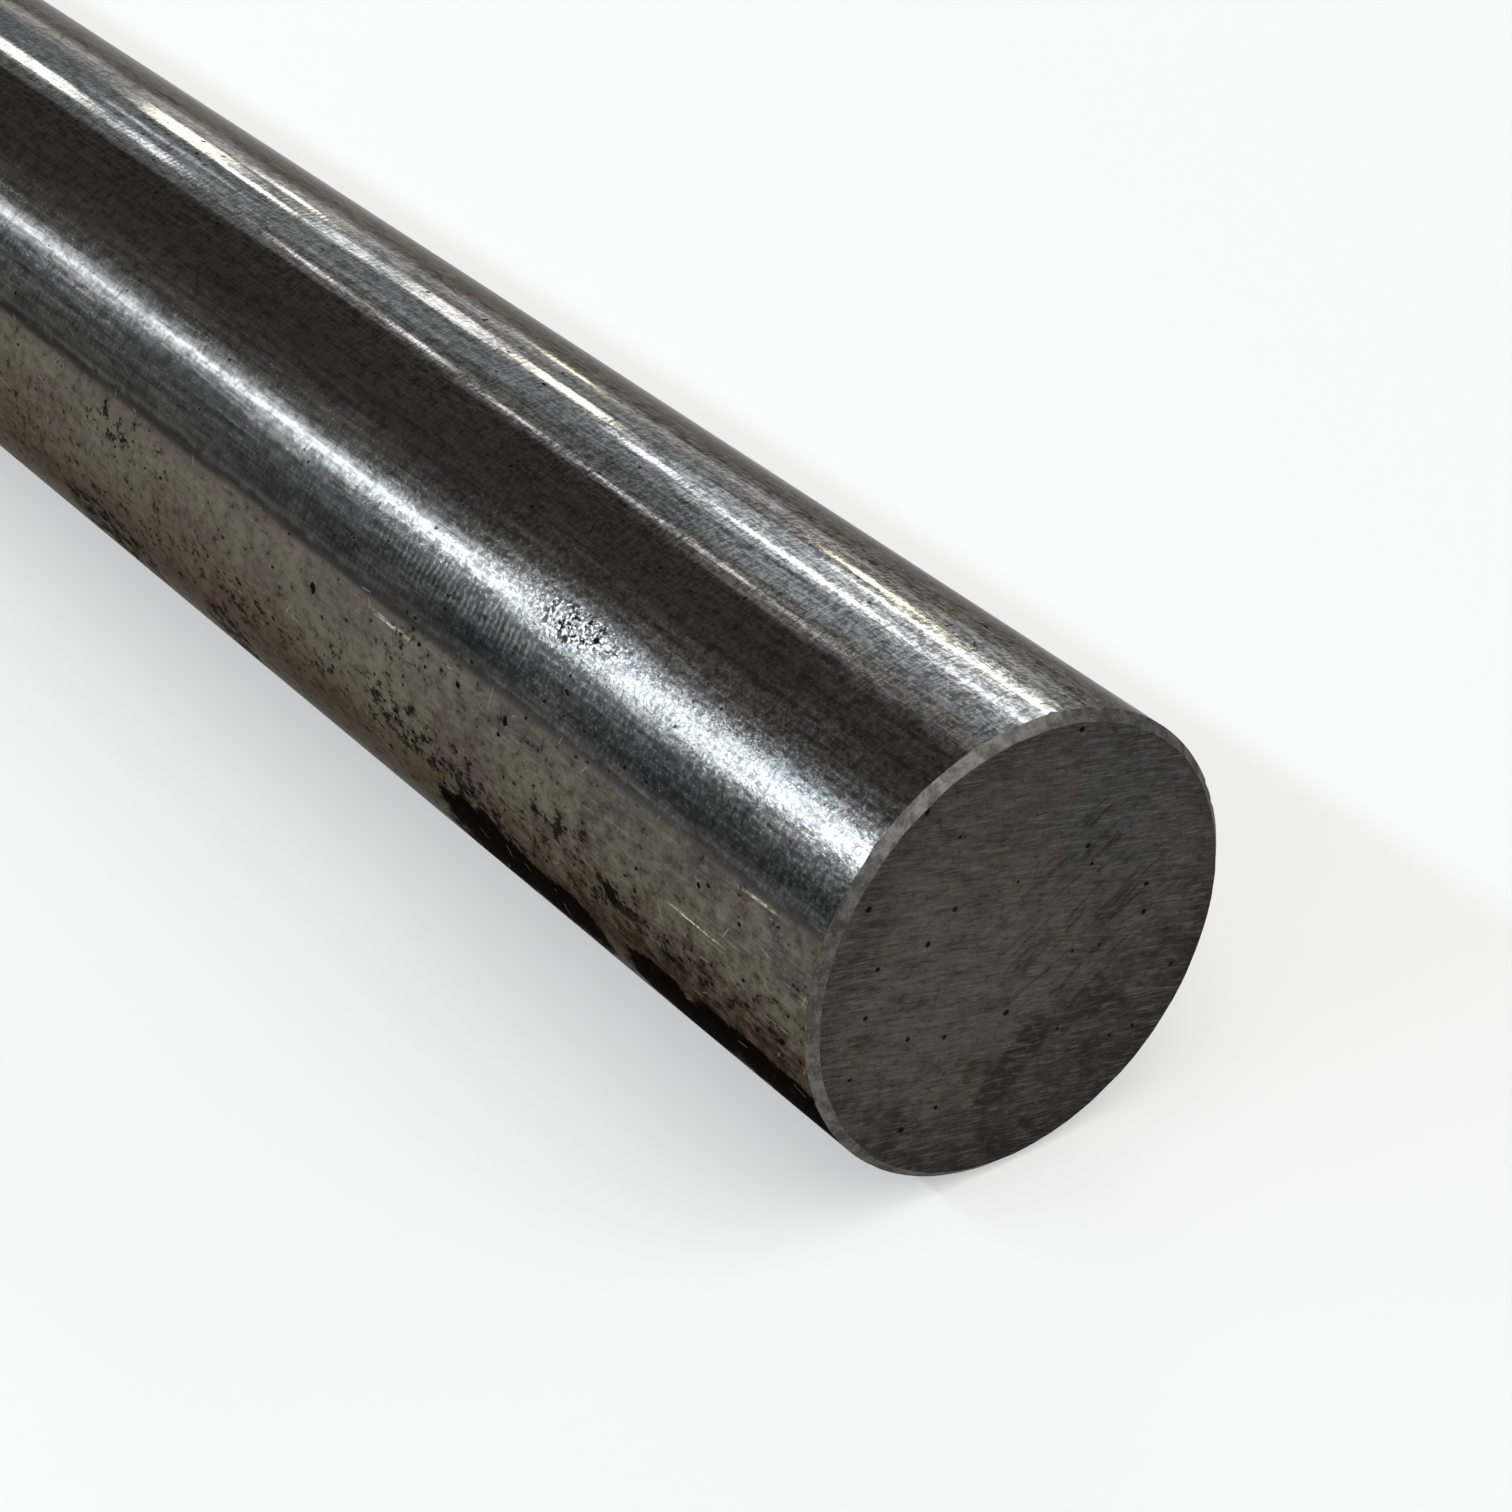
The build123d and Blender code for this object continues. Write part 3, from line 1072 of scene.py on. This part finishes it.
# Strips on the camera's side and rows of small lamps on the other: degrees above the level of the bar's axis,
# X where the lamp starts and stops, its width, how bright it is and its colour. Lengths are in metres.
NEAR_LAMPS = [
    (42.5, -3.60, -1.95, 0.085, 6.5, FAINT_BLUE),
    (42, -1.90, -1.55, 0.09, 8.5, SOFT_BLUE),
    (40, -1.50, 0.30, 0.065, 29, CLEAR_BLUE),
    (40, 0.45, 2.40, 0.065, 14, SOFT_BLUE),
]
FAR_LAMPS = [
    (37, -1.50, -0.80, 0.62, 1.0, COOL),
    (37, -2.60, -1.50, 0.80, 0.36, COOL),
    (56, -1.42, -0.80, 0.34, 0.52, COOL),
    (69, -1.42, -0.80, 0.36, 0.22, WHITE),
    (60, -1.75, -1.42, 0.50, 0.17, COOL),
    (57, -2.60, -1.75, 0.46, 0.23, COOL),
    (17, -2.60, -0.80, 0.40, 0.45, WHITE),
    (30.5, -1.21, -0.70, 0.07, 11, STRAW),
    (30, -1.29, -1.21, 0.04, 10, WHITE),
    (22, -1.295, -1.240, 0.07, 18, YELLOW),
    (44, -1.165, -1.02, 0.06, 9, WHITE),
    (41.5, -1.40, -1.235, 0.05, 9, WHITE),
    (37.5, -1.535, -1.480, 0.11, 5, WHITE),
    (30, -1.67, -1.565, 0.15, 5.5, STRAW),
    (11, -1.66, -1.61, 0.05, 12, YELLOW),
    (29, -1.83, -1.72, 0.28, 2.9, WHITE),
    (29, -1.96, -1.87, 0.24, 2.5, COOL),
    (19, -2.02, -1.975, 0.10, 9, STRAW),
    (19, -2.08, -2.025, 0.08, 3, ROSE),
    (31.5, -2.09, -2.01, 0.07, 10, WHITE),
    (26.5, -2.225, -2.10, 0.30, 5.6, STRAW),
    (42, -2.13, -2.085, 0.06, 2, COOL),
    (42, -2.27, -2.165, 0.06, 2, COOL),
    (70, -1.285, -1.255, 0.04, 3.5, ROSE),
    (68, -1.398, -1.366, 0.045, 5.0, ROSE),
    (66.5, -1.522, -1.488, 0.045, 4.8, ROSE),
    (64.5, -1.652, -1.626, 0.055, 5.2, ROSE),
    (61, -1.782, -1.755, 0.06, 8.5, ROSE),
    (59, -1.938, -1.912, 0.065, 9.0, ROSE),
    (57, -2.068, -2.042, 0.075, 9.0, ROSE),
    (53, -2.208, -2.165, 0.15, 6.5, COOL),
    (51, -2.62, -2.31, 0.22, 4.5, WHITE),
    (32, -3.20, -2.65, 0.08, 7, WHITE),
    (32, 0.20, 2.40, 0.08, 9, WHITE),
]
TOP_LIGHT = 2.45  # strength
TOP_LIGHT_SPREAD = 80  # degrees
TOP_LIGHT_TILT = 28  # degrees


def hang_lamp(name, side, angle, start, stop, width, radiance, colour):
    """A strip lamp along the bar that faces its axis. side is -1 on the camera's side and 1 on the other."""
    length = stop - start
    light = bpy.data.lights.new(name, "AREA")
    light.shape = "RECTANGLE"
    light.size = length
    light.size_y = width
    light.energy = radiance * length * width * math.pi
    light.color = colour
    lamp = link(name, light)
    middle = (start + stop) / 2
    y = side * LAMP_AWAY * math.cos(math.radians(angle))
    z = LAMP_AWAY * math.sin(math.radians(angle))
    centre = Vector((middle, y, z))
    back = (centre - Vector((middle, 0, 0))).normalized()
    right = Vector((1, 0, 0))
    up = back.cross(right).normalized()
    placed = Matrix((right, up, back)).transposed().to_4x4()
    placed.translation = centre
    lamp.matrix_world = placed
    lamp.visible_camera = False


def make_lamps():
    """The strips and small lamps on both sides, and a soft light from the top."""
    for name, side, lamps in (("near_lamp", -1, NEAR_LAMPS), ("far_lamp", 1, FAR_LAMPS)):
        for count, lamp in enumerate(lamps):
            hang_lamp(f"{name}_{count}", side, *lamp)
    sun = bpy.data.lights.new("soft_top_light", "SUN")
    sun.energy = TOP_LIGHT
    sun.angle = math.radians(TOP_LIGHT_SPREAD)
    top = link("soft_top_light", sun)
    top.rotation_euler = (0, math.radians(TOP_LIGHT_TILT), 0)


# The camera, seen from the near end: degrees from the -Y side towards +X, degrees up, and metres away. Then
# how far left of the near end and above it the middle of the picture lies, in metres.
VIEW_AZIMUTH = 54.1
VIEW_ELEVATION = 32.2
VIEW_DISTANCE = 0.2943
AIM_LEFT = 0.0202
AIM_UP = 0.01476
LENS = 92.86  # millimetres
SENSOR = 36.0  # millimetres
CLIP = (0.01, 50.0)  # metres


def make_camera():
    """The camera looks down on the near end, with the middle of the picture up and left of the face."""
    azimuth = math.radians(VIEW_AZIMUTH)
    elevation = math.radians(VIEW_ELEVATION)
    level = math.cos(elevation)
    back = Vector((math.sin(azimuth) * level, -math.cos(azimuth) * level, math.sin(elevation)))
    turn = (-back).to_track_quat("-Z", "Y")
    right = turn @ Vector((1, 0, 0))
    up = turn @ Vector((0, 1, 0))
    camera = link("camera", bpy.data.cameras.new("camera"))
    camera.data.lens = LENS
    camera.data.sensor_width = SENSOR
    camera.data.clip_start, camera.data.clip_end = CLIP
    camera.rotation_mode = "QUATERNION"
    camera.rotation_quaternion = turn
    camera.location = Vector((NEAR, 0, 0)) - right * AIM_LEFT + up * AIM_UP + back * VIEW_DISTANCE
    bpy.context.scene.camera = camera


make_camera()
bar = make_bar()
for material in (barrel_steel(), chamfer_steel(), face_steel()):
    bar.data.materials.append(material)
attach(bar, "root")
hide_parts("round_bar")
make_floor()
make_world()
make_lamps()
bpy.context.scene.view_settings.view_transform = "Standard"
